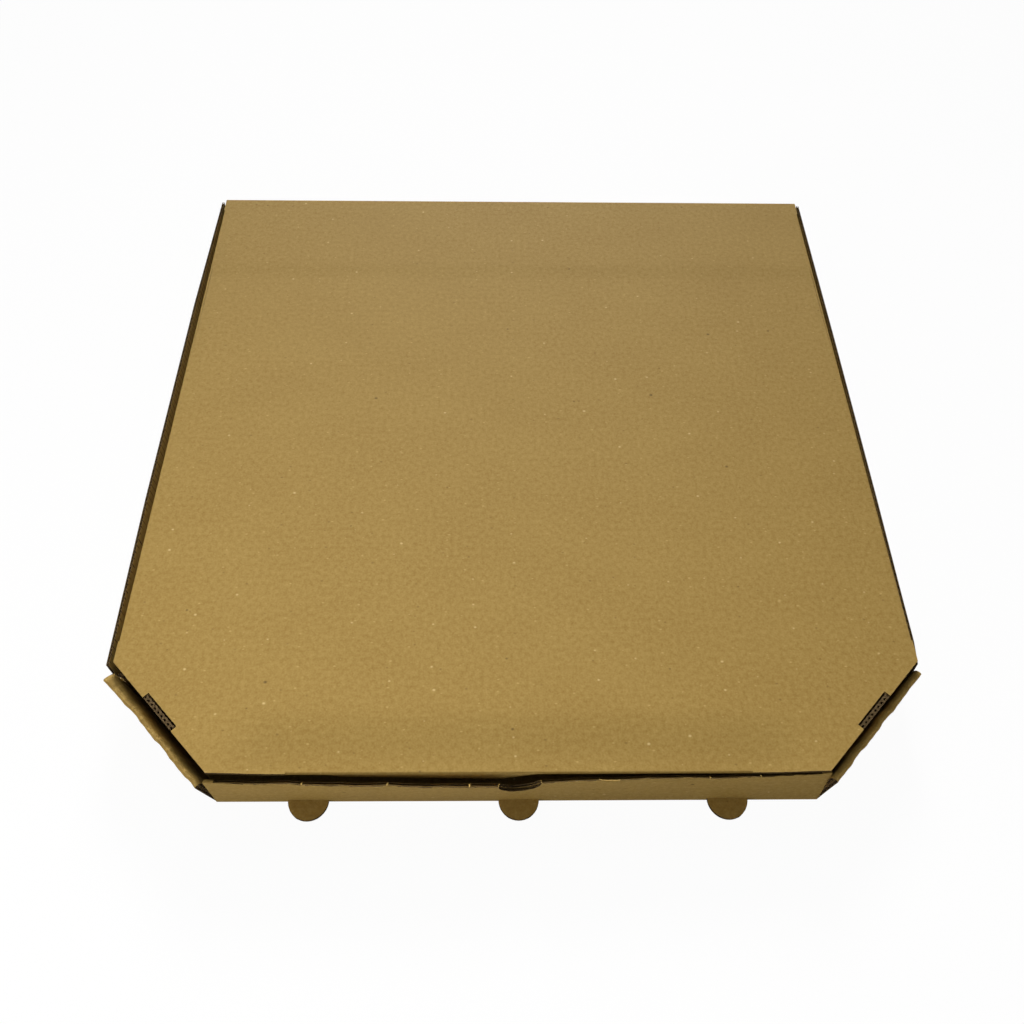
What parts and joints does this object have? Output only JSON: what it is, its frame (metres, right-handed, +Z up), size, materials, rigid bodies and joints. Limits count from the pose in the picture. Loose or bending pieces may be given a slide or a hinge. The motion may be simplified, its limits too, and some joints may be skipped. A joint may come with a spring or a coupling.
{
  "type": "pizza box",
  "caption": "Flat square pizza box of plain brown corrugated card with clipped front corners, closed, its lid hinged at the back and tucked in at the front.",
  "frame": {"origin": "on the underside of the base, under the centre of the lid's outline", "axes": "+Z up, +Y from the front wall towards the lid's hinge crease, +X to the right for someone facing the front wall"},
  "size_m": [0.3362, 0.3402, 0.029],
  "materials": {
    "corrugated_card": "matte"
  },
  "bodies": {
    "tray": {"tray": "corrugated_card"},
    "lid": {"lid": "corrugated_card"}
  },
  "joints": [
    {"name": "lid_hinge", "type": "hinge", "parent": "tray", "child": "lid", "pos_m": [0, 0.16515, 0.02735], "axis": [-1, 0, 0], "range_deg": [0, 180]}
  ]
}
